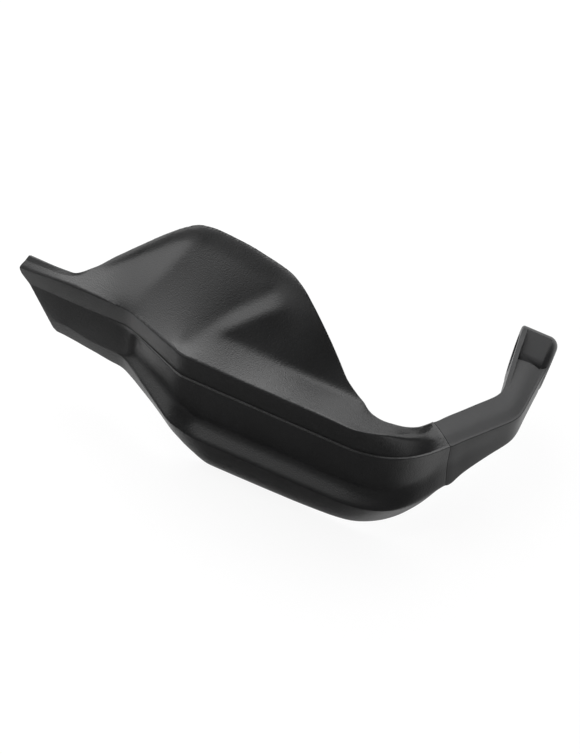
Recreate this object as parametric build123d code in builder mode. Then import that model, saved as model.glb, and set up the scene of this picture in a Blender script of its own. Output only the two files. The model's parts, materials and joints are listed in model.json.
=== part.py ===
from build123d import *
import math
import os

os.makedirs("parts", exist_ok=True)

# A left hand guard for a motorcycle: a moulded shell in front of the hand, a support arm that
# closes it to the bar end, and the metal pieces that fasten the two. The origin is the middle of
# the seat on the bar end, +X points outboard along the handlebar, +Y to the rider and +Z up.
# Sizes are in millimetres.

# Plan of the front wall, along the belt line
standoff = 124.0
flap_setback = 18.0
flap_length = 64.0
jog_length = 48.0
jog_softness = 0.16
station_step = 3.4
front_length = 99.0
corner_inset = 64.2
corner_radius = 60.0
arm_angle = 52.5
seam_run = 9.5
belt_z = 12.0

# Section of the front wall
wall = 3.0
ridge_height = 23.0
ridge_overhang = 3.3
belt_ledge = 1.3
band_height = 35.0
band_lean = 2.8
lip_reach = 6.0
lip_drop = 6.0
skirt_height = 68.0

# Blade above the ridge
blade_height = 66.0
blade_reach = 55.0
shelf_depth = 24.0
shelf_lift = 4.0
rim_band = 6.5
rim_curl = 3.0
terrace_share = 0.2
terrace_end = 0.25
brink_lift = 0.35

# Inboard flap
flap_ridge_height = 19.0
flap_flange = 5.0
flap_drop = 34.0
tip_lean = 27.9
tip_slant = 20.0
nose_share = 0.53
nose_lean = 4.5
tip_round = 14.0
tip_bevel = 8.5
tip_bevel_depth = 1.2

# Rounding of the moulded edges
edge_round = 1.2
ridge_round = 2.2
belt_round = 1.2
crease_round = 0.5
brow_round = 1.5
shelf_round = 14.0
terrace_round = 12.0
brink_round = 6.0
foot_round = 4.0
inner_round = 1.0

# Support arm
arm_width = 19.3
arm_depth = 31.0
arm_flare = 6.6
arm_crown = 0.8
arm_groove = 0.5
seam_gap = 0.3
elbow_reach = 54.0
elbow_inner_reach = 41.0
elbow_lean = 3.4
elbow_inner_lean = 3.2
elbow_depth = 21.0
strut_depth = 27.0
strut_round = 5.0
core_wall = 3.2

# Eye on the bar end
eye_radius = 18.0
eye_width = 21.8
eye_outer_round = 6.5
eye_inner_round = 1.6
seat_radius = 12.0
seat_offset = 2.2
flange_wall = 2.6
outer_wall = 4.6
pocket_front = 12.0
pocket_floor = 3.5
barrel_wall = 3.5
bush_radius = 8.0
bush_bore_radius = 4.25
bush_clearance = 0.05
counterbore_radius = 10.0
counterbore_depth = 8.0

# Tongue of the arm inside the shell, and its screws
tongue_gap = 3.0
tongue_thickness = 7.0
tongue_bottom = -10.0
tongue_height = 17.0
tongue_start = 12.0
tongue_grip = 6.0
screw_angle = 22.0
screw_pitch = 18.0
screw_z = -1.5
screw_head_radius = 3.6
screw_head_height = 2.6
screw_radius = 1.65
screw_length = 9.0
screw_clearance = 0.35
screw_socket = 1.5
spot_depth = 1.0
pad_radius = 5.0
pad_gap = 0.05
thread_gap = 0.05

# Inboard bosses with threaded inserts, and ribs
boss_share = 0.83
boss_spacing = 24.0
boss_drop = 8.0
boss_radius = 7.5
boss_reach = 14.0
insert_radius = 4.5
insert_bore_radius = 2.5
insert_length = 11.0
insert_gap = 0.05
rib_thickness = 2.2
rib_reach = 18.0

corner_x = -corner_inset
jog_outer_x = corner_x - front_length
jog_inner_x = jog_outer_x - jog_length
tip_x = jog_inner_x - flap_length
corner_y = corner_radius - standoff
turn = math.radians(arm_angle)
arc_end = corner_x + corner_radius * turn
seam = arc_end + seam_run


# Stations along the belt line, each as a share of one stretch of it
def flap(share):
    return tip_x + share * (jog_inner_x - tip_x)


def jog(share):
    return jog_inner_x + share * (jog_outer_x - jog_inner_x)


def front(share):
    return jog_outer_x + share * (corner_x - jog_outer_x)


def bend(share):
    return corner_x + share * (seam - corner_x)


# Feature lines as (station, size): backs are distances behind the belt line, rises are heights
# above it, and the rim's backs are distances behind the belt line of the front wall
lip_depth = band_height + lip_drop
ridge_back = [
    (jog(0), -3.0), (jog(1), -ridge_overhang), (front(1), -ridge_overhang),
    (bend(0.26), 0.08 * arm_width), (bend(0.45), 0.28 * arm_width), (bend(1), 0.46 * arm_width),
]
ridge_rise = [
    (flap(0), flap_ridge_height - 3.5), (flap(0.5), flap_ridge_height - 0.5), (jog(0), flap_ridge_height),
    (jog(1), ridge_height), (front(1), ridge_height), (bend(0.26), 0.83 * ridge_height),
    (bend(0.45), 0.61 * ridge_height), (bend(0.64), 0.39 * ridge_height), (bend(1), arm_crown),
]
crease_back = [
    (flap(0.75), -0.05), (jog(0), 0.3), (jog(0.4), 0.7 * belt_ledge), (jog(1), belt_ledge),
    (front(1), belt_ledge), (bend(1), 1.4),
]
crease_rise = [(front(1), 0.4), (bend(1), -arm_groove)]
brow_back = [
    (flap(0.8), 0.0), (jog(0), 0.3), (jog(0.13), 0.9), (jog(0.25), 3.0), (jog(0.29), 1.0), (jog(0.4), 0.0),
]
brow_drop = [(flap(0.8), 1.5), (jog(0), 2.6), (jog(0.13), 4.0), (jog(0.26), 6.2), (jog(0.5), 5.0)]
foot_back = [
    (jog(0), 0.0), (jog(0.13), 1.15), (jog(0.25), 3.8), (jog(0.29), 4.0), (jog(1), band_lean),
    (front(1), band_lean), (bend(0.45), -0.5), (bend(0.8), -0.25 * arm_flare), (bend(1), -0.33 * arm_flare),
]
foot_rise = [
    (flap(0.45), 12.0 - flap_drop), (flap(0.75), 7.7 - flap_drop), (jog(0.06), 7.2 - flap_drop),
    (jog(0.27), 0.32 * band_height - flap_drop),
    (jog(0.73), -0.7 * band_height), (jog(0.96), -0.81 * band_height), (front(0.11), -band_height),
    (front(1), -band_height), (bend(0.45), 1 - band_height), (bend(0.8), -0.75 * arm_depth),
    (bend(1), -0.5 * arm_depth),
]
lip_back = [
    (jog(0.02), 0.0), (jog(0.19), -0.08 * lip_reach), (jog(0.42), -0.42 * lip_reach),
    (jog(1), -lip_reach), (front(1), -lip_reach), (bend(0.47), -1.25 * lip_reach),
    (bend(1), -0.95 * arm_flare),
]
lip_rise = [
    (flap(0.45), 11.0 - flap_drop), (flap(0.75), 6.7 - flap_drop), (jog(0.06), 6.0 - flap_drop),
    (jog(0.77), 7.5 - lip_depth), (jog(1), 4.3 - lip_depth), (front(0.16), -lip_depth),
    (front(1), -lip_depth), (bend(0.5), 0.5 - lip_depth), (bend(0.75), 4.0 - lip_depth),
    (bend(1), 2.0 - arm_depth),
]
hem_back = [
    (jog(0), 1.4), (jog(0.5), 0.4), (front(1), 0.3), (bend(0.48), -0.4 * arm_flare),
    (bend(0.76), -0.83 * arm_flare), (bend(1), -arm_flare),
]
hem_rise = [
    (flap(0.36), -flap_drop), (flap(0.75), -3.4 - flap_drop), (jog(0), -6.2 - flap_drop),
    (jog(0.25), -6.5 - flap_drop), (jog(0.46), 26.0 - skirt_height), (jog(0.85), 20.0 - skirt_height),
    (front(0), 14.6 - skirt_height), (front(0.1), 6.7 - skirt_height), (front(0.26), -0.8 - skirt_height),
    (front(0.75), -skirt_height), (bend(0.2), 3.2 - skirt_height), (bend(0.48), 9.3 - skirt_height),
    (bend(0.6), 14.3 - skirt_height), (bend(0.76), 24.0 - skirt_height), (bend(1), -arm_depth),
]
shelf_back = [
    (flap(0.36), 1.0), (flap(0.58), 0.25 * shelf_depth), (flap(0.94), 0.5 * shelf_depth),
    (jog(0.46), 0.58 * shelf_depth), (front(0.06), 0.67 * shelf_depth), (front(0.2), 0.84 * shelf_depth),
    (front(0.45), shelf_depth), (front(0.75), 0.9 * shelf_depth),
    (front(1), 0.64 * shelf_depth), (bend(0.37), 0.52 * arm_width), (bend(1), 0.73 * arm_width),
]
shelf_rise = [
    (flap(0), flap_ridge_height - 1), (flap(0.58), flap_ridge_height + 1),
    (flap(0.94), flap_ridge_height + 5), (jog(0.46), ridge_height + 2.7 * shelf_lift),
    (front(0.06), ridge_height + 1.3 * shelf_lift), (front(0.3), ridge_height + 0.9 * shelf_lift),
    (front(0.6), ridge_height + 0.3 * shelf_lift), (front(0.8), 0.93 * ridge_height),
    (front(1), 0.63 * ridge_height), (bend(0.37), 0.52 * ridge_height),
    (bend(0.64), 0.33 * ridge_height), (bend(1), 0.6 * arm_crown),
]
rim_back = [
    (flap(0), flap_setback + flap_flange - 2), (flap(0.46), flap_setback + flap_flange - 0.6),
    (flap(0.6), 0.56 * blade_reach), (flap(0.75), 0.755 * blade_reach), (flap(0.9), 0.86 * blade_reach),
    (jog(0.15), 0.96 * blade_reach), (jog(0.65), blade_reach), (front(0.06), 0.963 * blade_reach),
    (front(0.2), 0.925 * blade_reach), (front(0.35), 0.866 * blade_reach),
    (front(0.45), 0.776 * blade_reach), (front(0.55), 0.676 * blade_reach),
    (front(0.7), 0.586 * blade_reach), (front(0.8), 0.546 * blade_reach), (front(0.87), 0.5 * blade_reach),
    (bend(0.16), 1.08 * arm_width), (bend(0.37), 0.94 * arm_width), (bend(0.64), 0.91 * arm_width),
    (bend(1), arm_width),
]
rim_rise = [
    (flap(0.46), flap_ridge_height + 1.5), (flap(0.6), flap_ridge_height + 3),
    (flap(0.75), 0.412 * blade_height), (flap(0.9), 0.535 * blade_height), (jog(0), 0.622 * blade_height),
    (jog(0.15), 0.73 * blade_height), (jog(0.3), 0.842 * blade_height), (jog(0.52), 0.963 * blade_height),
    (jog(0.75), 0.993 * blade_height), (front(0.06), blade_height), (front(0.2), 0.987 * blade_height),
    (front(0.35), 0.97 * blade_height), (front(0.45), 0.94 * blade_height),
    (front(0.525), 0.885 * blade_height), (front(0.6), 0.79 * blade_height),
    (front(0.7), 0.63 * blade_height), (front(0.8), 0.446 * blade_height),
    (front(0.87), 0.342 * blade_height), (front(1), 0.235 * blade_height), (bend(0.16), 0.18 * blade_height),
    (bend(0.37), 0.16 * blade_height), (bend(0.64), 0.097 * blade_height), (bend(1), 0.0),
]
rim_width = [
    (flap(0.46), 0.25 * rim_band), (flap(0.94), 0.4 * rim_band), (jog(0.3), 0.65 * rim_band),
    (jog(0.8), rim_band), (front(0.4), rim_band), (front(0.6), 0.5 * rim_band),
]
curl = [
    (flap(0.46), 0.0), (flap(0.94), 0.4 * rim_curl), (jog(0.3), 0.7 * rim_curl), (jog(0.8), rim_curl),
    (front(0.4), rim_curl), (front(0.6), 0.4 * rim_curl), (bend(0.37), 0.0),
]

# The step in the blade, in shares: how far the terrace climbs from the shelf to the rim, how far the
# brink lies from the terrace towards the ridge, and where the foot of the step leaves that slope
climb = [
    (jog(0.46), 0.0), (jog(0.8), 0.09), (front(0), 0.14), (front(0.1), 0.21), (front(0.2), 0.38),
    (front(0.3), 0.62), (front(0.4), 0.84), (front(0.5), 0.88),
]
brink_reach = [
    (flap(0.36), 0.05), (flap(0.58), 0.22), (flap(0.94), 0.38), (front(0.1), 0.38),
    (front(0.22), terrace_share), (front(0.32), terrace_share), (front(0.5), 0.0),
]
step_reach = [(flap(0.36), 0.1), (flap(0.58), 0.38), (flap(0.94), 0.5)]
brink_fall = [(front(0.32), 0.0), (front(0.5), terrace_end)]
step_share = [(front(0.1), 0.0), (front(0.24), 1.0)]
climb_lift = [
    (front(0.03), 0.0), (front(0.1), 0.9), (front(0.2), 2.0), (front(0.3), 3.6), (front(0.4), 2.2),
    (front(0.5), 0.0),
]


def smooth(station, knots):
    """Monotone cubic through (station, size) knots, level beyond the ends."""
    if station <= knots[0][0]:
        return knots[0][1]
    if station >= knots[-1][0]:
        return knots[-1][1]
    steps = [b[0] - a[0] for a, b in zip(knots, knots[1:])]
    rates = [(b[1] - a[1]) / step for a, b, step in zip(knots, knots[1:], steps)]
    slopes = [0.0]
    for before, after in zip(rates, rates[1:]):
        slopes.append(0.0 if before * after <= 0 else 2 * before * after / (before + after))
    slopes.append(0.0)
    i = max(k for k in range(len(steps)) if knots[k][0] <= station)
    t = (station - knots[i][0]) / steps[i]
    start = (1 + 2 * t) * (1 - t) ** 2 * knots[i][1] + t * (1 - t) ** 2 * steps[i] * slopes[i]
    end = t * t * (3 - 2 * t) * knots[i + 1][1] + t * t * (t - 1) * steps[i] * slopes[i + 1]
    return start + end


def belt_line(station):
    """Local x of the belt line: straight flap, jog with soft ends, straight front, corner."""
    t = min(max((station - jog_inner_x) / (jog_outer_x - jog_inner_x), 0.0), 1.0)
    if t < jog_softness:
        done = t * t / (2 * jog_softness)
    elif t > 1 - jog_softness:
        done = 1 - jog_softness - (1 - t) ** 2 / (2 * jog_softness)
    else:
        done = t - jog_softness / 2
    return flap_setback * (1 - done / (1 - jog_softness)) - corner_radius


def section_plane(station):
    """Plane across the wall at a station: local x runs to the rear, local y up."""
    angle = min(max((station - corner_x) / corner_radius, 0.0), turn)
    run = station - corner_x - corner_radius * angle
    along = Vector(math.cos(angle), math.sin(angle), 0)
    rearward = Vector(-math.sin(angle), math.cos(angle), 0)
    return Plane(Vector(corner_x, corner_y, 0) + along * run, x_dir=rearward, z_dir=along)


def outer_corners(station):
    """Corners of the outer face from the rim down to the hem."""
    line = belt_line(station)

    def corner(back, rise):
        return Vector(line + smooth(station, back), belt_z + smooth(station, rise))

    rim = Vector(smooth(station, rim_back) - corner_radius, belt_z + smooth(station, rim_rise))
    shelf = corner(shelf_back, shelf_rise)
    inward = shelf - rim
    band = min(0.5, smooth(station, rim_width) / inward.length)
    rim_foot = rim + inward * band - Vector(0, smooth(station, curl))
    ridge = corner(ridge_back, ridge_rise)
    lift = Vector(0, smooth(station, climb_lift))
    terrace = shelf + (rim_foot - shelf) * smooth(station, climb) + lift
    falling = (shelf - rim_foot) * smooth(station, brink_fall)
    brink = terrace + (ridge - terrace) * smooth(station, brink_reach) + falling + lift * brink_lift
    slope = terrace + (ridge - terrace) * smooth(station, step_reach)
    shelf = slope + (shelf - slope) * smooth(station, step_share)
    belt = Vector(line, belt_z)
    foot = corner(foot_back, foot_rise)
    down = (foot - belt).normalized() * smooth(station, brow_drop)
    brow = belt + down + Vector(smooth(station, brow_back), 0)
    return [
        rim,
        rim_foot,
        terrace,
        brink,
        shelf,
        ridge,
        corner(crease_back, crease_rise),
        belt,
        brow,
        foot,
        corner(lip_back, lip_rise),
        corner(hem_back, hem_rise),
    ]


def offset_chain(points, distance):
    """The same chain of corners, moved sideways to the rear by a distance."""
    moved = []
    last = len(points) - 1
    for i, point in enumerate(points):
        before = (points[max(i, 1)] - points[max(i, 1) - 1]).normalized()
        after = (points[min(i, last - 1) + 1] - points[min(i, last - 1)]).normalized()
        side = Vector(-before.Y - after.Y, before.X + after.X)
        moved.append(point + side * (distance / (1 + before.dot(after))))
    return moved


def rounded_outline(points, rounds):
    """Closed outline of straight runs with a rounded corner at every point."""
    following = points[1:] + points[:1]
    starts, ends = [], []
    for i, point in enumerate(points):
        back = points[i - 1] - point
        onward = following[i] - point
        cut = min(rounds[i], 0.42 * back.length, 0.42 * onward.length)
        starts.append(point + back.normalized() * cut)
        ends.append(point + onward.normalized() * cut)
    for i, point in enumerate(points):
        Bezier(starts[i], point, ends[i])
        Line(ends[i], starts[(i + 1) % len(points)])


outer_rounds = [
    edge_round, rim_band / 2, terrace_round, brink_round, shelf_round, ridge_round, crease_round, belt_round,
    brow_round, foot_round, ridge_round, edge_round,
]
inner_rounds = [
    edge_round, rim_band / 2, terrace_round, brink_round, shelf_round, inner_round, inner_round, brow_round,
    foot_round, inner_round, edge_round,
]


def spread(start, finish):
    """Even stations over one stretch, without its end."""
    count = max(1, round((finish - start) / station_step))
    return [start + i * (finish - start) / count for i in range(count)]


stretches = [tip_x - 4 * station_step, tip_x, jog_inner_x, jog_outer_x, corner_x, arc_end, seam]
stations = [station for pair in zip(stretches, stretches[1:]) for station in spread(*pair)] + [seam]


def tip_edge_x(z):
    """The flap's end leans below its nose: its x at a height."""
    return tip_x + (nose_z - z) * math.tan(math.radians(tip_lean))


def radial_plane(angle, distance, z):
    """A plane that faces away from the corner's axis, at an angle from straight ahead."""
    a = math.radians(angle)
    facing = Vector(math.sin(a), -math.cos(a), 0)
    middle = Vector(corner_x, corner_y, z) + facing * distance
    return Plane(middle, x_dir=(math.cos(a), math.sin(a), 0), z_dir=facing)


flap_y = corner_y + belt_line(tip_x)
nose_z = belt_z + nose_share * flap_ridge_height
boss_x = (flap(boss_share) - boss_spacing, flap(boss_share))
boss_z = belt_z - boss_drop
boss_face_y = flap_y + boss_reach
tongue_outer = corner_radius - wall - tongue_gap
tongue_inner = tongue_outer - tongue_thickness
screw_angles = (screw_angle, screw_angle + screw_pitch)
screw_seat = tongue_inner + spot_depth
pad_face = tongue_outer + pad_gap

# Shell: one moulding, with bosses and gussets behind the flap and pads for the arm's screws
with BuildPart() as guard_shell:
    for station in stations:
        with BuildSketch(section_plane(station)):
            with BuildLine():
                outer = outer_corners(station)
                inner = offset_chain(outer[:6] + outer[7:], wall)
                rounded_outline(outer + inner[::-1], outer_rounds + inner_rounds[::-1])
            make_face()
    loft()
    # The flap ends in a leaning edge with a round lower corner, cut at a slant from front to rear
    low = belt_z - flap_drop
    clear = low - 0.35 * flap_drop
    high = belt_z + 2 * flap_ridge_height
    nose_top = tip_x + (high - nose_z) * math.tan(math.radians(nose_lean))
    slant = math.radians(tip_slant)
    lead = flap_setback * math.tan(slant)
    with BuildSketch(Plane.XZ.offset(flap_setback - flap_y)):
        with BuildLine():
            edge = FilletPolyline(
                (nose_top - lead, high), (tip_x - lead, nose_z), (tip_edge_x(low) - lead, low),
                (flap(1) - lead, clear), radius=tip_round,
            )
            Polyline(edge @ 1, (flap(-1), clear), (flap(-1), high), edge @ 0)
        make_face()
    extrude(amount=standoff, dir=(math.sin(slant), math.cos(slant), 0), mode=Mode.SUBTRACT)
    # A shallow bevel along that edge, from nothing at the belt line to its full width at the bottom
    bevel_start = Vector(tip_edge_x(belt_z), flap_y, belt_z)
    bevel_end = Vector(tip_edge_x(low) + tip_bevel, flap_y, low)
    bevel_way = (bevel_end - bevel_start).normalized()
    facing = Vector(-tip_bevel, tip_bevel_depth, 0).cross(bevel_way).normalized()
    with BuildSketch(Plane(bevel_start, x_dir=bevel_way, z_dir=facing)):
        Rectangle(2 * flap_drop, 3 * tip_bevel, align=(Align.MIN, Align.MAX))
    extrude(amount=flap_setback, mode=Mode.SUBTRACT)
    # Bosses for the inboard bracket, each with a gusset above and below
    with BuildSketch(Plane.XZ.offset(-boss_face_y)):
        with Locations(*[(x, boss_z) for x in boss_x]):
            Circle(boss_radius)
    extrude(amount=boss_reach - wall / 2)
    for x in boss_x:
        with BuildSketch(Plane.YZ.offset(x)):
            with BuildLine():
                Polyline(
                    (flap_y + wall / 2, boss_z - rib_reach), (flap_y + wall / 2, belt_z),
                    (flap_y, boss_z + rib_reach), (boss_face_y - wall, boss_z + wall),
                    (boss_face_y - wall, boss_z - wall), close=True,
                )
            make_face()
        extrude(amount=rib_thickness / 2, both=True)
    with BuildSketch(Plane.XZ.offset(-boss_face_y)):
        with Locations(*[(x, boss_z) for x in boss_x]):
            Circle(insert_radius + insert_gap)
    extrude(amount=insert_length + 0.5, mode=Mode.SUBTRACT)
    # Pads that the tongue is screwed against, with blind holes
    for angle in screw_angles:
        with BuildSketch(radial_plane(angle, pad_face, screw_z)):
            Circle(pad_radius)
        extrude(amount=corner_radius - wall / 2 - pad_face)
        with BuildSketch(radial_plane(angle, pad_face, screw_z)):
            Circle(screw_radius + thread_gap)
        extrude(amount=screw_seat + screw_length + 0.5 - pad_face, mode=Mode.SUBTRACT)

# Plan of the arm: a straight run from the seam to the elbow, then a strut to the eye
seam_plane = section_plane(seam + seam_gap)
seam_outer = seam_plane.from_local_coords(Vector(-corner_radius, 0))
seam_inner = seam_plane.from_local_coords(Vector(arm_width - corner_radius, 0))
elbow_outer = Vector(eye_width - elbow_lean, -elbow_reach)
elbow_inner = Vector(elbow_inner_lean, -elbow_inner_reach)
eye_outer = Vector(eye_width, 0)
eye_inner = Vector(-seat_offset, eye_radius / 2)
elbow_start = 0.85
elbow_finish = 1.13


def arm_side(share, start, elbow, end):
    """A point along one side of the arm: 0 at the seam, 1 at the elbow, 2 at the eye."""
    if share <= 1:
        return start + (elbow - start) * share
    return elbow + (end - elbow) * (share - 1)


def arm_edges(share):
    """The outer and the inner side of the arm, with the elbow eased."""
    edges = []
    for side in ((seam_outer, elbow_outer, eye_outer), (seam_inner, elbow_inner, eye_inner)):
        point = arm_side(share, *side)
        if share == 1:
            point = point * 0.5 + (arm_side(elbow_start, *side) + arm_side(elbow_finish, *side)) * 0.25
        edges.append(point)
    return edges


arm_drop = [
    (0, arm_depth), (0.35, 0.5 * arm_depth + 0.5 * elbow_depth),
    (0.7, 0.18 * arm_depth + 0.82 * elbow_depth), (1, elbow_depth),
    (1.35, 0.75 * elbow_depth + 0.25 * strut_depth), (2, strut_depth),
]
arm_lean = [(0, arm_flare), (0.35, 0.7 * arm_flare), (0.7, 0.42 * arm_flare), (1, 0.25 * arm_flare), (2, 0)]
arm_round = [(0, belt_round), (0.6, 0.5 * strut_round), (1.4, strut_round)]
arm_shares = [0, 0.17, 0.34, 0.51, 0.68, elbow_start, 1, elbow_finish, 1.3, 1.47, 1.64, 1.81]
core_shares = [(0.18, 0.56), (0.62, 0.95), (1.08, 1.5)]

# Hollow in the top of the eye, between its two side walls: it stops at the barrel of the bush
barrel = bush_radius + barrel_wall
ramp = math.radians(114.5)
ramp_foot = Vector(barrel * math.cos(ramp), barrel * math.sin(ramp))
ramp_way = Vector(math.sin(ramp), -math.cos(ramp))
with BuildPart() as eye_hollow:
    with BuildSketch(Plane.XY.offset(pocket_floor)):
        with BuildLine():
            Polyline(
                (flange_wall, 2 - pocket_front), (eye_width - outer_wall, -2 - pocket_front),
                (eye_width - outer_wall, eye_radius), (flange_wall - seat_offset, eye_radius), close=True,
            )
        make_face()
    extrude(amount=eye_radius)
    with BuildSketch(Plane.YZ):
        Circle(barrel)
        with BuildLine():
            Polyline(
                (0, 0), ramp_foot, ramp_foot + ramp_way * 2 * eye_radius, (2 * eye_radius, 0), close=True
            )
        make_face()
    extrude(amount=eye_width, mode=Mode.SUBTRACT)

# The eye: turned about the handlebar's axis, and trimmed by the slanting inner face of the strut
face_way = (eye_inner - elbow_inner).normalized()
face_length = (eye_inner - elbow_inner).length
face_plane = Plane(elbow_inner, x_dir=face_way, z_dir=(face_way.Y, -face_way.X, 0))
with BuildPart() as eye_ring:
    with BuildSketch(Plane.XZ) as eye_profile:
        with Locations((-eye_radius / 2, 0)):
            Rectangle(eye_width + eye_radius / 2, eye_radius, align=(Align.MIN, Align.MIN))
        fillet(eye_profile.vertices().group_by(Axis.Y)[-1].sort_by(Axis.X)[-1], eye_outer_round)
    revolve(axis=Axis.X)
    with BuildSketch(face_plane):
        Rectangle(10 * eye_radius, 3 * eye_radius)
    extrude(amount=-eye_radius, mode=Mode.SUBTRACT)
    fillet(eye_ring.edges().sort_by(Axis.X)[0], eye_inner_round)

# Support arm: one moulding with the eye for the bar end and the tongue that goes inside the shell
with BuildPart() as support_arm:
    for share in arm_shares:
        outer, inner = arm_edges(share)
        across = (inner - outer).normalized()
        width = (inner - outer).length
        lean = smooth(share, arm_lean)
        depth = smooth(share, arm_drop)
        with BuildSketch(Plane(outer, x_dir=across, z_dir=(across.Y, -across.X, 0))):
            with BuildLine():
                rounded_outline(
                    [
                        Vector(width, belt_z),
                        Vector(0.46 * width, belt_z + arm_crown),
                        Vector(1.4, belt_z - arm_groove),
                        Vector(0, belt_z),
                        Vector(-0.33 * lean, belt_z - 0.5 * depth),
                        Vector(-0.95 * lean, belt_z - depth + 2),
                        Vector(-lean, belt_z - depth),
                        Vector(width, belt_z - depth),
                    ],
                    [
                        ridge_round, foot_round, crease_round, smooth(share, arm_round),
                        foot_round, ridge_round, edge_round, ridge_round,
                    ],
                )
            make_face()
    loft()
    add(eye_ring.part)
    # A plate on the inner face of the strut, running up to the top of the eye
    with BuildSketch(face_plane):
        with BuildLine():
            Polyline(
                (2, 0), (2, belt_z - 0.5), (face_length - 1.2 * eye_radius / 2 - 1, eye_radius - 0.3),
                (face_length - eye_radius / 2, 0), close=True,
            )
        make_face()
    extrude(amount=flange_wall)
    add(eye_hollow.part, mode=Mode.SUBTRACT)
    # Open cores in the underside
    for start, finish in core_shares:
        with BuildSketch(Plane.XY.offset(belt_z - core_wall)):
            with BuildLine():
                corners = []
                for share, order in ((start, 1), (finish, -1)):
                    outer, inner = arm_edges(share)
                    inset = (inner - outer).normalized() * core_wall
                    corners += [outer + inset, inner - inset][::order]
                Polyline(*[(corner.X, corner.Y) for corner in corners], close=True)
            make_face()
        extrude(amount=-2 * arm_depth, mode=Mode.SUBTRACT)
    # The tongue follows the shell's corner and runs on into the arm
    with BuildSketch(Plane.XY.offset(tongue_bottom)):
        with BuildLine():
            centre = (corner_x, corner_y)
            far = CenterArc(centre, tongue_outer, tongue_start - 90, arm_angle - tongue_start)
            near = CenterArc(centre, tongue_inner, tongue_start - 90, arm_angle - tongue_start)
            run = seam_plane.z_dir * (seam_run + tongue_grip)
            Polyline(far @ 1, (far @ 1) + run, (near @ 1) + run, near @ 1)
            Line(near @ 0, far @ 0)
        make_face()
    extrude(amount=tongue_height)
    for angle in screw_angles:
        with BuildSketch(radial_plane(angle, screw_seat, screw_z)):
            Circle(screw_radius + screw_clearance)
        extrude(amount=tongue_thickness, mode=Mode.SUBTRACT)
        with BuildSketch(radial_plane(angle, screw_seat, screw_z)):
            Circle(screw_head_radius + screw_clearance)
        extrude(amount=-tongue_thickness, mode=Mode.SUBTRACT)
    # Seat on the bar end, hole for the bush and counterbore for the bar-end bolt
    with BuildSketch(Plane.YZ):
        Circle(seat_radius)
    extrude(amount=-eye_radius, mode=Mode.SUBTRACT)
    with BuildSketch(Plane.YZ):
        Circle(bush_radius + bush_clearance)
    extrude(amount=eye_width, mode=Mode.SUBTRACT)
    with BuildSketch(Plane.YZ.offset(eye_width)):
        Circle(counterbore_radius)
    extrude(amount=-counterbore_depth, mode=Mode.SUBTRACT)

# Steel bush that the bar-end bolt clamps against
with BuildPart() as bar_end_bush:
    with BuildSketch(Plane.YZ):
        Circle(bush_radius)
        Circle(bush_bore_radius, mode=Mode.SUBTRACT)
    extrude(amount=eye_width - counterbore_depth)

# Brass threaded inserts in the inboard bosses
with BuildPart() as inboard_inserts:
    with BuildSketch(Plane.XZ.offset(-boss_face_y)):
        with Locations(*[(x, boss_z) for x in boss_x]):
            Circle(insert_radius)
            Circle(insert_bore_radius, mode=Mode.SUBTRACT)
    extrude(amount=insert_length)

# Screws that hold the tongue to the shell
with BuildPart() as arm_screws:
    for angle in screw_angles:
        with BuildSketch(radial_plane(angle, screw_seat, screw_z)):
            Circle(screw_radius)
        extrude(amount=screw_length)
        with BuildSketch(radial_plane(angle, screw_seat, screw_z)):
            Circle(screw_head_radius)
        extrude(amount=-screw_head_height)
        with BuildSketch(radial_plane(angle, screw_seat - screw_head_height, screw_z)):
            RegularPolygon(screw_socket, 6)
        extrude(amount=0.6 * screw_head_height, mode=Mode.SUBTRACT)

guard_shell.part.label = "guard_shell"
export_step(guard_shell.part, "parts/guard_shell.step")
support_arm.part.label = "support_arm"
export_step(support_arm.part, "parts/support_arm.step")
bar_end_bush.part.label = "bar_end_bush"
export_step(bar_end_bush.part, "parts/bar_end_bush.step")
inboard_inserts.part.label = "inboard_inserts"
export_step(inboard_inserts.part, "parts/inboard_inserts.step")
arm_screws.part.label = "arm_screws"
export_step(arm_screws.part, "parts/arm_screws.step")
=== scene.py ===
"""Looks of a motorcycle hand guard: grained shell, satin support arm and the metal pieces in them."""

import json
import math

import bmesh
import bpy
from bpy.props import FloatProperty, FloatVectorProperty, IntProperty, PointerProperty
from mathutils import Matrix, Vector
from mathutils.bvhtree import BVHTree
from mathutils.geometry import intersect_point_line


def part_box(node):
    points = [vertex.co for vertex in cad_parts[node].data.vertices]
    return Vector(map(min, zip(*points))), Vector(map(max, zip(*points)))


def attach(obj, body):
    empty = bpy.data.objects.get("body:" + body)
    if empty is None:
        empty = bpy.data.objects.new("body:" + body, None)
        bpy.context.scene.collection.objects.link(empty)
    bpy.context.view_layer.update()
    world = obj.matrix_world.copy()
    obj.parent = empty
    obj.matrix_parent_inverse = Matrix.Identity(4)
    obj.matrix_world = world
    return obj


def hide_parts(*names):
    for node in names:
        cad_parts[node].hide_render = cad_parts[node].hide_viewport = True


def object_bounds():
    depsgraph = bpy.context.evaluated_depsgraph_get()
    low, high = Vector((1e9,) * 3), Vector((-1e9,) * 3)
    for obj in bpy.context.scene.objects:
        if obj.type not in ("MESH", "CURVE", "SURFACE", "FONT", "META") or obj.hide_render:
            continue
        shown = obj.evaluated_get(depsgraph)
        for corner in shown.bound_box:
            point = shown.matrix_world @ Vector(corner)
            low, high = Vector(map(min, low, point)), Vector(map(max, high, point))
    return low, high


bl_info = {
    "name": "Hand guard",
    "version": (1, 0, 0),
    "blender": (4, 5, 0),
    "location": "3D View > Sidebar > Hand guard",
    "description": "Dresses a packed hand guard with grained plastic, metal fasteners and a studio",
    "category": "Object",
}

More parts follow.
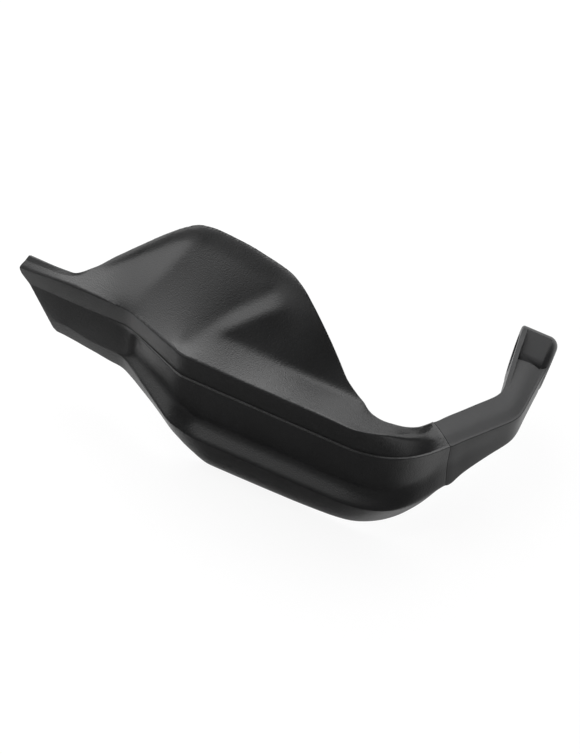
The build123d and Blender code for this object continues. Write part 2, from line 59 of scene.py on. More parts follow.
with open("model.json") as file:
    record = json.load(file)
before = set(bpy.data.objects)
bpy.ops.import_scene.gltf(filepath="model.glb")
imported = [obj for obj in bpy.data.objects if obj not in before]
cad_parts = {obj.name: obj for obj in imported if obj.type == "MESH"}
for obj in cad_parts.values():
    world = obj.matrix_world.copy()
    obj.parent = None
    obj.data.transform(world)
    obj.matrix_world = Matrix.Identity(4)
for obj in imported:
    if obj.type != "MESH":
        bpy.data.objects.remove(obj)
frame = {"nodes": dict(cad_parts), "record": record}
CAD_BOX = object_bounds()
BODY = "root"
MILLIMETRE = 0.001
# Corners nearer than this are one corner, in metres.
MERGE = 2e-6
PHOTO_SIZE = Vector((580, 754))
# The camera's sensor along the photo's longer side, in millimetres.
SENSOR = 36
# Places on the blade: the photo's pixels across and down, then the height in millimetres above the
# camera's target, towards the camera. First the line round the panels, then the folds that they meet in
# and the foot of the rim, then the rim itself, which stays sharper.
PANEL_OUTLINE = (
    (80, 277, 12.6), (90, 271, 9), (97.5, 264, 7.5), (117.5, 253, 7.6), (145, 240.5, 13), (170, 228.5, 21.5),
    (190, 222, 29), (204, 221, 32), (224, 226, 35.5), (254, 241.5, 39), (286, 262, 43), (306, 285, 44),
    (320, 320, 42), (347.5, 367.5, 33), (365, 397.5, 31), (374, 412.5, 30), (386, 420, 29.5),
    (400, 422, 26.5), (417.5, 422.5, 20.5), (432, 420.5, 14), (430, 431.5, 16), (416, 434.5, 24.5),
    (404, 435, 32), (386, 434, 38.5), (367.5, 430, 44.5), (350, 424, 46), (327.5, 416, 48), (245, 381, 43),
    (185, 354.5, 38.5), (130, 311.5, 19), (102.5, 298, 16), (75, 284, 12.5),
)
PANEL_FOLDS = {
    "fold": (
        (130, 311.5, 19.8), (145, 294.5, 22.7), (161, 276.5, 26.1), (177.5, 259, 28.9), (192.5, 241, 30.4),
    ),
    "step": ((182.5, 346, 34.2), (210, 325, 32.9), (236, 309, 33.4), (277.5, 289.5, 38)),
    "brink": ((220, 332.5, 35.2), (255, 317.5, 38.4), (290, 304.5, 41.4)),
    "foot": ((220, 332.5, 35.2), (282.5, 364, 33.3), (344, 392, 31.4), (361, 400.5, 30.8)),
    "left_rim_foot": (
        (102.5, 269.5, 9.2), (120, 263, 9.3), (146, 251.5, 13.4), (172, 241.5, 22.3), (190, 237.5, 29),
    ),
    "right_rim_foot": ((205, 242, 31.9), (245, 265.5, 36.4), (277.5, 285.5, 39.3)),
}
PANEL_RIMS = {
    "left_rim": (
        (102.5, 265, 8.9), (120, 257.5, 10.2), (146, 246, 15.7), (172, 234.5, 24.7), (190, 229, 31.7),
        (202.5, 228, 34.2),
    ),
    "right_rim": (
        (202.5, 228, 34.2), (220, 232.5, 36.8), (250, 248.5, 40.7), (282.5, 271, 44.1), (295, 282.5, 45.2),
        (304, 293, 45.5), (312.5, 310, 44.5),
    ),
}
# The sheet over the blade: its mesh, which of the shell's faces it lies on, and the vertices a line takes.
SHEET_PITCH = 0.8 * MILLIMETRE
LEAST_FACING = 0.15
LINE_REACH = 0.75 * SHEET_PITCH
# How the sheet is smoothed: where it hangs past the shell, between the folds, across the folds, at the rim.
SMOOTHING = 0.7
BARE_PASSES = 130
TAUT_PASSES = 700
FOLD_PASSES = 13
RIM_PASSES = 4
# How the shell follows it: longest edge left, rounds of halving, depth of wall that goes along, and reach.
LONGEST_EDGE = 2 * MILLIMETRE
HALVINGS = 6
WALL_DEPTH = 9 * MILLIMETRE
SHEET_REACH = 6 * MILLIMETRE
# Scale of the tool marks along each axis: they run round the axis that keeps its full scale.
MARKS_ROUND_X = (1, 0.1, 0.1)
MARKS_ROUND_Y = (0.1, 1, 0.1)
MARKS_EVEN = (1, 1, 1)
# Half of a thread ridge's foot as a share of the pitch, and the small edges' share of the chamfer.
RIDGE_HALF = 0.45
INSERT_EDGE = 0.5
SCREW_EDGE = 0.4
FLAT_ANGLE = math.radians(1)
RIM_ANGLE = math.radians(40)
# Soft lamps: degrees round from the guard's front and up, then distance, width, height and brightness.
LAMPS = {
    "left_wall": (-100, 34, 1.2, 1.65, 1.7, 2.1),
    "back_wall": (-173, 42, 1.2, 1.5, 1.3, 1.9),
    "overhead": (-150, 74, 1.25, 1.1, 0.9, 2.9),
    "front_top": (0, 76, 1.25, 0.9, 0.5, 1.2),
    "left_front": (-40, 36, 1.3, 1.1, 1.7, 0.95),
}
# Cards at the floor that only reflections see, painted dark and grey reflections on the faces that mirror
# them: their corners, and how pale they are.
REFLECTION_SHEETS = {
    "dark_reflection_sheet": (((-0.31, -0.125), (0.03, -0.125), (1.7, -1.5), (-0.31, -1.5)), 0.13),
    "grey_reflection_sheet": (((-1.2, 0.25), (-0.312, 0.25), (-0.312, -1.5), (-1.2, -1.5)), 0.6),
}
FLOOR_SIZE = 30
FLOOR_LEVEL = CAD_BOX[0].z - 0.5 * MILLIMETRE
CARD_LEVEL = CAD_BOX[0].z - 0.2 * MILLIMETRE


class PlasticFinish(bpy.types.PropertyGroup):
    """Finish of the two plastic mouldings."""

    shell_colour: FloatVectorProperty(
        name="Shell colour", description="Colour of the shell's black plastic",
        default=(0.0085, 0.0086, 0.0089), size=3, min=0, max=1, subtype="COLOR",
    )
    shell_roughness: FloatProperty(
        name="Shell roughness", description="Roughness of the grained shell", default=0.38, min=0, max=1,
        subtype="FACTOR",
    )
    shell_specular: FloatProperty(
        name="Shell sheen", description="Mirror share of the grained shell", default=0.47, min=0, max=1,
        subtype="FACTOR",
    )
    grain_size: FloatProperty(
        name="Grain", description="Width of one pebble of the shell's moulded grain", default=0.0007,
        min=0.0001, unit="LENGTH",
    )
    grain_depth: FloatProperty(
        name="Grain depth", description="Depth of the shell's moulded grain", default=0.00009, min=0,
        unit="LENGTH",
    )
    arm_colour: FloatVectorProperty(
        name="Arm colour", description="Colour of the support arm's black plastic",
        default=(0.013, 0.0132, 0.0138), size=3, min=0, max=1, subtype="COLOR",
    )
    arm_roughness: FloatProperty(
        name="Arm roughness", description="Roughness of the satin arm", default=0.42, min=0, max=1,
        subtype="FACTOR",
    )
    arm_specular: FloatProperty(
        name="Arm sheen", description="Mirror share of the satin arm", default=0.3, min=0, max=1,
        subtype="FACTOR",
    )
    arm_grain_size: FloatProperty(
        name="Arm grain", description="Width of the arm's fine spark texture", default=0.0005, min=0.0001,
        unit="LENGTH",
    )
    arm_grain_depth: FloatProperty(
        name="Arm grain depth", description="Depth of the arm's fine spark texture", default=0.00002, min=0,
        unit="LENGTH",
    )
    crease_angle: FloatProperty(
        name="Crease angle", description="Edges that turn more than this stay crisp",
        default=math.radians(32), subtype="ANGLE",
    )


class MetalFinish(bpy.types.PropertyGroup):
    """Finish and small sizes of the metal pieces."""

    steel_colour: FloatVectorProperty(
        name="Bush colour", description="Colour of the turned steel bush", default=(0.52, 0.52, 0.53),
        size=3, min=0, max=1, subtype="COLOR",
    )
    steel_roughness: FloatProperty(
        name="Bush roughness", description="Roughness of the bush", default=0.32, min=0, max=1,
        subtype="FACTOR",
    )
    brass_colour: FloatVectorProperty(
        name="Insert colour", description="Colour of the brass inserts", default=(0.66, 0.47, 0.19),
        size=3, min=0, max=1, subtype="COLOR",
    )
    brass_roughness: FloatProperty(
        name="Insert roughness", description="Roughness of the inserts", default=0.34, min=0, max=1,
        subtype="FACTOR",
    )
    zinc_colour: FloatVectorProperty(
        name="Screw colour", description="Colour of the dark zinc on the screws", default=(0.11, 0.11, 0.115),
        size=3, min=0, max=1, subtype="COLOR",
    )
    zinc_roughness: FloatProperty(
        name="Screw roughness", description="Roughness of the screws", default=0.42, min=0, max=1,
        subtype="FACTOR",
    )
    chamfer: FloatProperty(
        name="Chamfer", description="Broken edge of the turned pieces", default=0.0005, min=0, unit="LENGTH",
    )
    thread_pitch: FloatProperty(
        name="Insert pitch", description="Pitch of the inserts' thread", default=0.0008, min=0.0002,
        unit="LENGTH",
    )
    thread_depth: FloatProperty(
        name="Insert thread depth", description="Depth of the inserts' thread", default=0.0004, min=0,
        unit="LENGTH",
    )
    segments: IntProperty(
        name="Segments", description="Steps round a turned piece", default=72, min=12,
    )
    crease_angle: FloatProperty(
        name="Crease angle", description="Edges that turn more than this stay crisp",
        default=math.radians(30), subtype="ANGLE",
    )


class StudioSettings(bpy.types.PropertyGroup):
    """Camera, light and floor."""

    target: FloatVectorProperty(
        name="Target", description="Point that the camera looks at",
        default=(-0.1114, -0.0888, 0.0068), size=3, subtype="TRANSLATION", unit="LENGTH",
    )
    azimuth: FloatProperty(
        name="Azimuth", description="Camera's turn from the guard's front", default=math.radians(11.28),
        subtype="ANGLE",
    )
    elevation: FloatProperty(
        name="Elevation", description="Camera's angle above the floor", default=math.radians(51.46),
        subtype="ANGLE",
    )
    roll: FloatProperty(
        name="Roll", description="Camera's turn about its own axis", default=math.radians(14.5),
        subtype="ANGLE",
    )
    distance: FloatProperty(
        name="Distance", description="From the camera to its target", default=1.2, min=0.1, unit="LENGTH",
    )
    focal: FloatProperty(
        name="Focal length", description="Lens in millimetres on a sensor 36 mm long", default=99.7, min=10,
    )
    floor_shade: FloatProperty(
        name="Shadow share", description="How much of the shadow shows on the white floor",
        default=0.12, min=0, max=1, subtype="FACTOR",
    )
    ambient: FloatProperty(
        name="Ambient", description="Strength of the grey room round the lamps", default=0.15, min=0,
    )


def finish_of(name):
    """The property group of that name on the scene."""
    return getattr(bpy.context.scene, name)


def place(node, name, mesh, material):
    """Puts a finished mesh in the scene as the piece that stands for a CAD node."""
    piece = bpy.data.objects.new(name, mesh)
    bpy.context.scene.collection.objects.link(piece)
    mesh.materials.clear()
    mesh.materials.append(material)
    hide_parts(node)
    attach(piece, BODY)
    return piece


def panel_sheet(shell, outline, folds, rims):
    """A fine sheet over the blade, pulled taut between its folds; its heights are how far the shell moves."""
    low = Vector([min(point[axis] for point in outline) for axis in range(2)])
    high = Vector([max(point[axis] for point in outline) for axis in range(2)])
    middle, half = (low + high) / 2, (high - low) / 2
    sheet = bmesh.new()
    bmesh.ops.create_grid(
        sheet, x_segments=int(2 * half.x / SHEET_PITCH), y_segments=int(2 * half.y / SHEET_PITCH), size=1,
        matrix=Matrix.Translation((*middle, 0)) @ Matrix.Diagonal((*half, 1, 1)),
    )
    bare = []
    for vert in sheet.verts:
        hit, normal, _, _ = shell.ray_cast((vert.co.x, vert.co.y, 1), (0, 0, -1))
        if hit is None or normal.z < LEAST_FACING:
            vert.co.z = min(outline, key=lambda point: (point.xy - vert.co.xy).length).z
            bare.append(vert)
        else:
            vert.co.z = hit.z
    for _ in range(BARE_PASSES):
        bmesh.ops.smooth_vert(sheet, verts=bare, factor=SMOOTHING, use_axis_z=True)
    first = {vert: vert.co.z for vert in sheet.verts}
    region = BVHTree.FromPolygons([(x, y, 0) for x, y, _ in outline], [range(len(outline))])
    inside = [vert for vert in sheet.verts if region.ray_cast((vert.co.x, vert.co.y, 1), (0, 0, -1))[0]]
    crisp = lay_on_lines(inside, rims)
    held = crisp | lay_on_lines(inside, folds)
    free = [vert for vert in inside if vert not in held]
    soft = [vert for vert in inside if vert not in crisp]
    for verts, passes in ((free, TAUT_PASSES), (soft, FOLD_PASSES), (inside, RIM_PASSES)):
        for _ in range(passes):
            bmesh.ops.smooth_vert(sheet, verts=verts, factor=SMOOTHING, use_axis_z=True)
    for vert in sheet.verts:
        vert.co.z -= first[vert]
    return sheet


def lay_on_lines(verts, lines):
    """Sets the sheet's vertices beside each line to its height, and returns them."""
    laid = set()
    for line in lines:
        for start, finish in zip(line, line[1:]):
            for vert in verts:
                near, share = intersect_point_line(vert.co.xy, start.xy, finish.xy)
                if 0 <= share <= 1 and (near - vert.co.xy).length < LINE_REACH:
                    vert.co.z = start.z + share * (finish.z - start.z)
                    laid.add(vert)
    return laid


def sighted(stage, across, down, height):
    """A place in the photo, at a height above the camera's target, in the camera's axes."""
    size = SENSOR / stage.focal / PHOTO_SIZE.y * (stage.distance - height * MILLIMETRE)
    return Vector((
        (across - PHOTO_SIZE.x / 2) * size, (PHOTO_SIZE.y / 2 - down) * size, height * MILLIMETRE,
    ))


def draw_panels_taut(form):
    """Takes the ripples out of the blade's panels, along the line of sight, and keeps its wall."""
    stage = finish_of("hand_guard_stage")
    to_camera = Matrix(camera_axes(stage)).to_4x4() @ Matrix.Translation(-Vector(stage.target))
    outline = [sighted(stage, *spot) for spot in PANEL_OUTLINE]
    folds = [[sighted(stage, *spot) for spot in line] for line in PANEL_FOLDS.values()]
    rims = [[sighted(stage, *spot) for spot in line] for line in PANEL_RIMS.values()]
    bmesh.ops.transform(form, matrix=to_camera, verts=form.verts)
    shell = BVHTree.FromBMesh(form)
    sheet = panel_sheet(shell, outline, folds, rims)
    shift = BVHTree.FromBMesh(sheet)
    sheet.free()
    for _ in range(HALVINGS):
        longs = [
            edge for edge in form.edges
            if edge.calc_length() > LONGEST_EDGE and all(moved(shift, vert.co) for vert in edge.verts)
        ]
        if not longs:
            break
        bmesh.ops.subdivide_edges(form, edges=longs, cuts=1)
        bmesh.ops.triangulate(form, faces=[face for face in form.faces if len(face.verts) > 3])
    for vert in form.verts:
        front = shell.ray_cast((vert.co.x, vert.co.y, 1), (0, 0, -1))[0]
        if front is None or front.z - vert.co.z < WALL_DEPTH:
            vert.co.z += moved(shift, vert.co)
    bmesh.ops.transform(form, matrix=to_camera.inverted(), verts=form.verts)


def moved(shift, point):
    """How far the sheet moves the shell at a point."""
    hit = shift.ray_cast((point.x, point.y, 1), (0, 0, -1))[0]
    if hit is None:
        hit = shift.find_nearest((point.x, point.y, 0), SHEET_REACH)[0]
    return hit.z if hit else 0.0


def merged_mesh(node, name, crease_angle, reshape=None):
    """A merged, smooth-shaded copy of a CAD node's mesh."""
    form = bmesh.new()
    form.from_mesh(frame["nodes"][node].data)
    bmesh.ops.remove_doubles(form, verts=form.verts, dist=MERGE)
    bmesh.ops.dissolve_degenerate(form, dist=MERGE / 2, edges=form.edges)
    if reshape:
        reshape(form)
    mesh = bpy.data.meshes.new(name)
    form.to_mesh(mesh)
    form.free()
    for layer in ("custom_normal", "sharp_edge", "sharp_face"):
        if layer in mesh.attributes:
            mesh.attributes.remove(mesh.attributes[layer])
    mesh.shade_smooth()
    mesh.set_sharp_from_angle(angle=crease_angle)
    return mesh


def soften(piece):
    """Lets the large faces lead the shading across the small rounded edges."""
    weighted = piece.modifiers.new("weighted_normals", "WEIGHTED_NORMAL")
    weighted.keep_sharp = True
    weighted.weight = 50


def new_material(name):
    """An empty node material with its Principled shader."""
    material = bpy.data.materials.new(name)
    material.use_nodes = True
    tree = material.node_tree
    return material, tree.nodes, tree.links, tree.nodes["Principled BSDF"]


def moulded_plastic(name, colour, roughness, specular, grain_size, grain_depth):
    """Black plastic with a moulded pebble grain and a slight drift of tone and gloss."""
    material, nodes, links, shader = new_material(name)
    shader.inputs["Specular IOR Level"].default_value = specular
    where = nodes.new("ShaderNodeTexCoord")
    pebbles = nodes.new("ShaderNodeTexVoronoi")
    pebbles.feature = "SMOOTH_F1"
    pebbles.inputs["Scale"].default_value = 1 / grain_size
    pebbles.inputs["Smoothness"].default_value = 0.6
    fuzz = nodes.new("ShaderNodeTexNoise")
    fuzz.inputs["Scale"].default_value = 0.7 / grain_size
    fuzz.inputs["Detail"].default_value = 3
    height = nodes.new("ShaderNodeMath")
    height.operation = "SUBTRACT"
    bump = nodes.new("ShaderNodeBump")
    bump.inputs["Strength"].default_value = 1
    bump.inputs["Distance"].default_value = grain_depth
    drift = nodes.new("ShaderNodeTexNoise")
    drift.inputs["Scale"].default_value = 38
    drift.inputs["Detail"].default_value = 4
    tone = nodes.new("ShaderNodeValToRGB")
    tone.color_ramp.elements[0].position = 0.3
    tone.color_ramp.elements[0].color = (*[0.88 * c for c in colour], 1)
    tone.color_ramp.elements[1].position = 0.7
    tone.color_ramp.elements[1].color = (*[1.14 * c for c in colour], 1)
    gloss = nodes.new("ShaderNodeMapRange")
    gloss.inputs["From Min"].default_value = 0.3
    gloss.inputs["From Max"].default_value = 0.7
    gloss.inputs["To Min"].default_value = roughness - 0.03
    gloss.inputs["To Max"].default_value = roughness + 0.03
    for texture in (pebbles, fuzz, drift):
        links.new(where.outputs["Object"], texture.inputs["Vector"])
    links.new(fuzz.outputs["Fac"], height.inputs[0])
    links.new(pebbles.outputs["Distance"], height.inputs[1])
    links.new(height.outputs[0], bump.inputs["Height"])
    links.new(bump.outputs["Normal"], shader.inputs["Normal"])
    links.new(drift.outputs["Fac"], tone.inputs["Fac"])
    links.new(tone.outputs["Color"], shader.inputs["Base Color"])
    links.new(drift.outputs["Fac"], gloss.inputs["Value"])
    links.new(gloss.outputs["Result"], shader.inputs["Roughness"])
    return material


def turned_metal(name, colour, roughness, mark_scale):
    """Metal with fine tool marks: noise with its own scale along each axis, small where it is drawn out."""
    material, nodes, links, shader = new_material(name)
    shader.inputs["Metallic"].default_value = 1
    where = nodes.new("ShaderNodeTexCoord")
    turn = nodes.new("ShaderNodeMapping")
    turn.inputs["Scale"].default_value = mark_scale
    marks = nodes.new("ShaderNodeTexNoise")
    marks.inputs["Scale"].default_value = 2500
    marks.inputs["Detail"].default_value = 3
    tone = nodes.new("ShaderNodeValToRGB")
    tone.color_ramp.elements[0].position = 0.3
    tone.color_ramp.elements[0].color = (*[0.82 * c for c in colour], 1)
    tone.color_ramp.elements[1].position = 0.7
    tone.color_ramp.elements[1].color = (*[1.1 * c for c in colour], 1)
    gloss = nodes.new("ShaderNodeMapRange")
    gloss.inputs["To Min"].default_value = roughness - 0.08
    gloss.inputs["To Max"].default_value = roughness + 0.1
    bump = nodes.new("ShaderNodeBump")
    bump.inputs["Strength"].default_value = 0.4
    bump.inputs["Distance"].default_value = 0.00002
    links.new(where.outputs["Object"], turn.inputs["Vector"])
    links.new(turn.outputs["Vector"], marks.inputs["Vector"])
    links.new(marks.outputs["Fac"], tone.inputs["Fac"])
    links.new(tone.outputs["Color"], shader.inputs["Base Color"])
    links.new(marks.outputs["Fac"], gloss.inputs["Value"])
    links.new(gloss.outputs["Result"], shader.inputs["Roughness"])
    links.new(marks.outputs["Fac"], bump.inputs["Height"])
    links.new(bump.outputs["Normal"], shader.inputs["Normal"])
    return material


class HANDGUARD_OT_shell(bpy.types.Operator):
    """Dress the shell in grained black plastic"""

    bl_idname = "handguard.shell"
    bl_label = "Shell"

    def execute(self, context):
        finish = finish_of("hand_guard_plastic")
        plastic = moulded_plastic(
            "grained_black_plastic", finish.shell_colour, finish.shell_roughness,
            finish.shell_specular, finish.grain_size, finish.grain_depth,
        )
        mesh = merged_mesh("guard_shell", "grained_shell", finish.crease_angle, draw_panels_taut)
        soften(place("guard_shell", "grained_shell", mesh, plastic))
        return {"FINISHED"}


class HANDGUARD_OT_arm(bpy.types.Operator):
    """Dress the support arm in satin black plastic"""

    bl_idname = "handguard.arm"
    bl_label = "Support arm"

    def execute(self, context):
        finish = finish_of("hand_guard_plastic")
        plastic = moulded_plastic(
            "satin_black_plastic", finish.arm_colour, finish.arm_roughness,
            finish.arm_specular, finish.arm_grain_size, finish.arm_grain_depth,
        )
        mesh = merged_mesh("support_arm", "satin_arm", finish.crease_angle)
        soften(place("support_arm", "satin_arm", mesh, plastic))
        return {"FINISHED"}


def mount(name):
    """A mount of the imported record."""
    return next(entry for entry in frame["record"]["mounts"] if entry["name"] == name)


def turned_ring(form, bore, outside, start, finish, chamfer, segments):
    """Spins a ring about the X axis, with its edges broken, and returns its vertices."""
    profile = (
        (start, bore + chamfer), (start, outside - chamfer), (start + chamfer, outside),
        (finish - chamfer, outside), (finish, outside - chamfer), (finish, bore + chamfer),
        (finish - chamfer, bore), (start + chamfer, bore),
    )
    corners = [form.verts.new((along, radius, 0)) for along, radius in profile]
    edges = [form.edges.new(pair) for pair in zip(corners, corners[1:] + corners[:1])]
    before = set(form.verts) - set(corners)
    bmesh.ops.spin(
        form, geom=corners + edges, axis=(1, 0, 0), angle=math.tau, steps=segments, use_merge=True,
    )
    return [vert for vert in form.verts if vert not in before]


def thread_ridge(form, bore, depth, pitch, start, finish, segments):
    """Winds a thread's ridge up the inside of a bore about the X axis, and returns its vertices."""
    before = set(form.verts)
    half = RIDGE_HALF * pitch
    corners = [
        form.verts.new((start, bore, 0)), form.verts.new((start + 2 * half, bore, 0)),
        form.verts.new((start + half, bore - depth, 0)),
    ]
    edges = [form.edges.new(pair) for pair in zip(corners, corners[1:] + corners[:1])]
    turns = int((finish - start) / pitch) - 1
    bmesh.ops.spin(
        form, geom=corners + edges, axis=(1, 0, 0), angle=math.tau * turns, steps=segments * turns,
        dvec=(pitch / segments, 0, 0),
    )
    ridge = [vert for vert in form.verts if vert not in before]
    ends = [edge for edge in form.edges if edge.is_boundary and edge.verts[0] not in before]
    bmesh.ops.holes_fill(form, edges=ends, sides=3)
    return ridge


def finished_mesh(form, name, crease_angle):
    """Turns a bmesh into a mesh with its faces outwards, smooth but for its crisp edges."""
    bmesh.ops.recalc_face_normals(form, faces=form.faces)
    mesh = bpy.data.meshes.new(name)
    form.to_mesh(mesh)
    form.free()
    mesh.shade_smooth()
    mesh.set_sharp_from_angle(angle=crease_angle)
    return mesh


class HANDGUARD_OT_bush(bpy.types.Operator):
    """Turn the steel bush in the eye, with broken edges"""

    bl_idname = "handguard.bush"
    bl_label = "Bar-end bush"

    def execute(self, context):
        finish = finish_of("hand_guard_metal")
        low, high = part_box("bar_end_bush")
        form = bmesh.new()
        turned_ring(
            form, mount("bar_end_bore")["dims"]["r_mm"] * MILLIMETRE, (high.z - low.z) / 2, low.x, high.x,
            finish.chamfer, finish.segments,
        )
        mesh = finished_mesh(form, "steel_bush", finish.crease_angle)
        steel = turned_metal("turned_steel", finish.steel_colour, finish.steel_roughness, MARKS_ROUND_X)
        place("bar_end_bush", "steel_bush", mesh, steel)
        return {"FINISHED"}


class HANDGUARD_OT_inserts(bpy.types.Operator):
    """Turn the two brass inserts behind the flap, and cut their threads"""

    bl_idname = "handguard.inserts"
    bl_label = "Threaded inserts"

    def execute(self, context):
        finish = finish_of("hand_guard_metal")
        holes = mount("inboard_holes")
        bore = holes["dims"]["hole_r_mm"] * MILLIMETRE
        spacing = holes["dims"]["spacing_x_mm"] * MILLIMETRE
        low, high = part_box("inboard_inserts")
        length = high.y - low.y
        form = bmesh.new()
        for side in (-0.5, 0.5):
            verts = turned_ring(
                form, bore, (high.z - low.z) / 2, 0, length, INSERT_EDGE * finish.chamfer, finish.segments,
            )
            verts += thread_ridge(
                form, bore, finish.thread_depth, finish.thread_pitch, finish.chamfer, length, finish.segments,
            )
            middle = Vector((holes["pos_m"][0] + side * spacing, low.y, holes["pos_m"][2]))
            turn = Matrix.Rotation(math.radians(90), 4, "Z")
            bmesh.ops.transform(form, matrix=Matrix.Translation(middle) @ turn, verts=verts)
        mesh = finished_mesh(form, "brass_inserts", finish.crease_angle)
        brass = turned_metal("turned_brass", finish.brass_colour, finish.brass_roughness, MARKS_ROUND_Y)
        place("inboard_inserts", "brass_inserts", mesh, brass)
        return {"FINISHED"}


class HANDGUARD_OT_screws(bpy.types.Operator):
    """Finish the two socket screws on the tongue, with broken edges"""

    bl_idname = "handguard.screws"
    bl_label = "Arm screws"

    def execute(self, context):
        finish = finish_of("hand_guard_metal")
        form = bmesh.new()
        form.from_mesh(frame["nodes"]["arm_screws"].data)
        bmesh.ops.remove_doubles(form, verts=form.verts, dist=MERGE)
        bmesh.ops.dissolve_limit(form, angle_limit=FLAT_ANGLE, verts=form.verts, edges=form.edges)
        rims = [edge for edge in form.edges if edge.is_manifold and edge.calc_face_angle() > RIM_ANGLE]
        bmesh.ops.bevel(
            form, geom=rims, offset=SCREW_EDGE * finish.chamfer, offset_type="OFFSET", affect="EDGES",
            segments=2, profile=0.5, material=-1, clamp_overlap=True,
        )
        mesh = finished_mesh(form, "socket_screws", finish.crease_angle)
        zinc = turned_metal("dark_zinc", finish.zinc_colour, finish.zinc_roughness, MARKS_EVEN)
        place("arm_screws", "socket_screws", mesh, zinc)
        return {"FINISHED"}


def camera_axes(stage):
    """The camera's right, up and backward directions, after its roll."""
    back = Vector((
        math.sin(stage.azimuth) * math.cos(stage.elevation),
        -math.cos(stage.azimuth) * math.cos(stage.elevation),
        math.sin(stage.elevation),
    ))
    right = Vector((math.cos(stage.azimuth), math.sin(stage.azimuth), 0))
    up = back.cross(right)
    turned_right = right * math.cos(stage.roll) + up * math.sin(stage.roll)
    turned_up = up * math.cos(stage.roll) - right * math.sin(stage.roll)
    return turned_right, turned_up, back


def soft_box(name, azimuth, elevation, distance, width, height, brightness, target):
    """A rectangular lamp that faces the target, in degrees round from the guard's front and up."""
    lamp = bpy.data.lights.new(name, "AREA")
    lamp.shape = "RECTANGLE"
    lamp.size = width
    lamp.size_y = height
    lamp.energy = brightness * math.pi * width * height
    holder = bpy.data.objects.new(name, lamp)
    round_, up = math.radians(azimuth), math.radians(elevation)
    way = Vector((math.sin(round_) * math.cos(up), -math.cos(round_) * math.cos(up), math.sin(up)))
    holder.location = target + way * distance
    holder.rotation_euler = way.to_track_quat("Z", "Y").to_euler()
    holder.visible_camera = False
    bpy.context.scene.collection.objects.link(holder)
    return holder


class HANDGUARD_OT_stage(bpy.types.Operator):
    """Add the camera, the soft lamps and the pale floor"""

    bl_idname = "handguard.stage"
    bl_label = "Stage"

    def execute(self, context):
        stage = finish_of("hand_guard_stage")
        scene = context.scene
        target = Vector(stage.target)
        right, up, back = camera_axes(stage)
        lens = bpy.data.cameras.new("camera")
        lens.lens = stage.focal
        lens.sensor_width = SENSOR
        camera = bpy.data.objects.new("camera", lens)
        turned = Matrix((right, up, back)).transposed().to_4x4()
        camera.matrix_world = Matrix.Translation(target + back * stage.distance) @ turned
        scene.collection.objects.link(camera)
        scene.camera = camera
        scene.view_settings.view_transform = "Standard"

        for name, lamp in LAMPS.items():
            soft_box(name, *lamp, target)

        world = bpy.data.worlds.new("room")
        scene.world = world
        world.use_nodes = True
        room = world.node_tree.nodes["Background"]
        room.inputs["Color"].default_value = (1, 1, 1, 1)
        room.inputs["Strength"].default_value = stage.ambient

        form = bmesh.new()
        bmesh.ops.create_grid(form, x_segments=1, y_segments=1, size=FLOOR_SIZE)
        bmesh.ops.translate(form, verts=form.verts, vec=(0, 0, FLOOR_LEVEL))
        mesh = bpy.data.meshes.new("floor")
        form.to_mesh(mesh)
        form.free()
        floor = bpy.data.objects.new("floor", mesh)
        scene.collection.objects.link(floor)
        mesh.materials.append(white_floor(stage.floor_shade))
        # Sheets that only reflections see: painted dark and grey reflections on the faces that mirror them.
        for name, (corners, shade) in REFLECTION_SHEETS.items():
            painted_reflection_sheet(name, corners, shade)
        return {"FINISHED"}


def painted_reflection_sheet(name, corners, shade):
    """A card on the floor that only reflections see: a painted dark reflection on the faces that mirror it.
    """
    form = bmesh.new()
    bmesh.ops.contextual_create(form, geom=[form.verts.new((x, y, CARD_LEVEL)) for x, y in corners])
    bmesh.ops.recalc_face_normals(form, faces=form.faces)
    mesh = bpy.data.meshes.new(name)
    form.to_mesh(mesh)
    form.free()
    material, _, _, shader = new_material(name)
    shader.inputs["Base Color"].default_value = (shade, shade, shade, 1)
    shader.inputs["Roughness"].default_value = 0.9
    shader.inputs["Specular IOR Level"].default_value = 0
    mesh.materials.append(material)
    card = bpy.data.objects.new(name, mesh)
    bpy.context.scene.collection.objects.link(card)
    card.visible_camera = False
    card.visible_diffuse = False
    card.visible_shadow = False
    return card


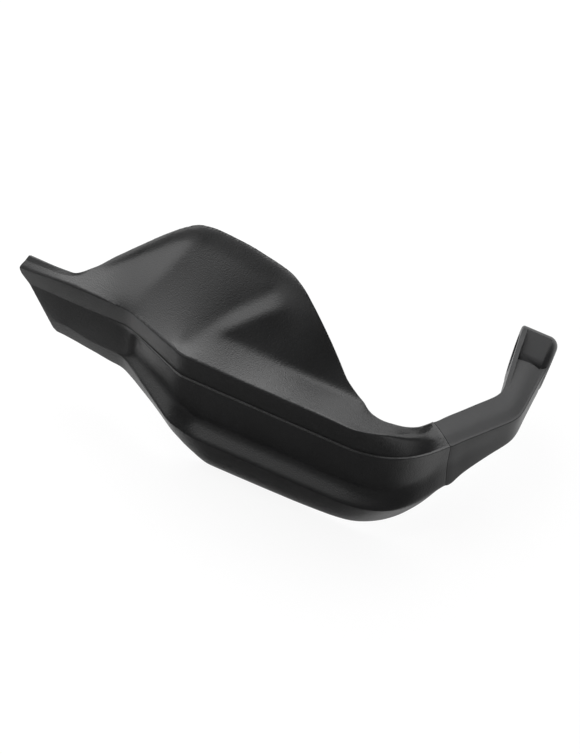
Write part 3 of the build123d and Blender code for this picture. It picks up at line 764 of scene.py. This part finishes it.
def white_floor(shade):
    """White to the camera and in reflections, with part of the shadow left on it."""
    material, nodes, links, shader = new_material("white_floor")
    shader.inputs["Base Color"].default_value = (0.8, 0.8, 0.8, 1)
    shader.inputs["Roughness"].default_value = 0.9
    glow = nodes.new("ShaderNodeEmission")
    glow.inputs["Strength"].default_value = 1
    path = nodes.new("ShaderNodeLightPath")
    seen = nodes.new("ShaderNodeMath")
    seen.operation = "MAXIMUM"
    through = nodes.new("ShaderNodeMath")
    through.operation = "MAXIMUM"
    share = nodes.new("ShaderNodeMath")
    share.operation = "MULTIPLY"
    share.inputs[1].default_value = 1 - shade
    blend = nodes.new("ShaderNodeMixShader")
    links.new(path.outputs["Is Camera Ray"], seen.inputs[0])
    links.new(path.outputs["Is Glossy Ray"], seen.inputs[1])
    links.new(seen.outputs[0], through.inputs[0])
    links.new(path.outputs["Is Transmission Ray"], through.inputs[1])
    links.new(through.outputs[0], share.inputs[0])
    links.new(share.outputs[0], blend.inputs["Fac"])
    links.new(shader.outputs["BSDF"], blend.inputs[1])
    links.new(glow.outputs["Emission"], blend.inputs[2])
    links.new(blend.outputs["Shader"], nodes["Material Output"].inputs["Surface"])
    return material


class HANDGUARD_PT_panel(bpy.types.Panel):
    """Lists the pieces and their settings"""

    bl_idname = "HANDGUARD_PT_panel"
    bl_label = "Hand guard"
    bl_space_type = "VIEW_3D"
    bl_region_type = "UI"
    bl_category = "Hand guard"

    def draw(self, context):
        layout = self.layout
        for step in STEPS:
            layout.operator(step.bl_idname)
        for name in GROUPS:
            group = finish_of(name)
            box = layout.box()
            for key in group.bl_rna.properties.keys():
                if key not in ("rna_type", "name"):
                    box.prop(group, key)


GROUPS = {
    "hand_guard_plastic": PlasticFinish,
    "hand_guard_metal": MetalFinish,
    "hand_guard_stage": StudioSettings,
}
STEPS = (
    HANDGUARD_OT_shell, HANDGUARD_OT_arm, HANDGUARD_OT_bush, HANDGUARD_OT_inserts, HANDGUARD_OT_screws,
    HANDGUARD_OT_stage,
)
CLASSES = (*GROUPS.values(), *STEPS, HANDGUARD_PT_panel)


def register():
    for cls in CLASSES:
        bpy.utils.register_class(cls)
    for name, group in GROUPS.items():
        setattr(bpy.types.Scene, name, PointerProperty(type=group))


def unregister():
    for name in GROUPS:
        delattr(bpy.types.Scene, name)
    for cls in reversed(CLASSES):
        bpy.utils.unregister_class(cls)


def main():
    """Builds every piece and the stage."""
    register()
    bpy.ops.handguard.shell()
    bpy.ops.handguard.arm()
    bpy.ops.handguard.bush()
    bpy.ops.handguard.inserts()
    bpy.ops.handguard.screws()
    bpy.ops.handguard.stage()


if __name__ == "__main__":
    main()
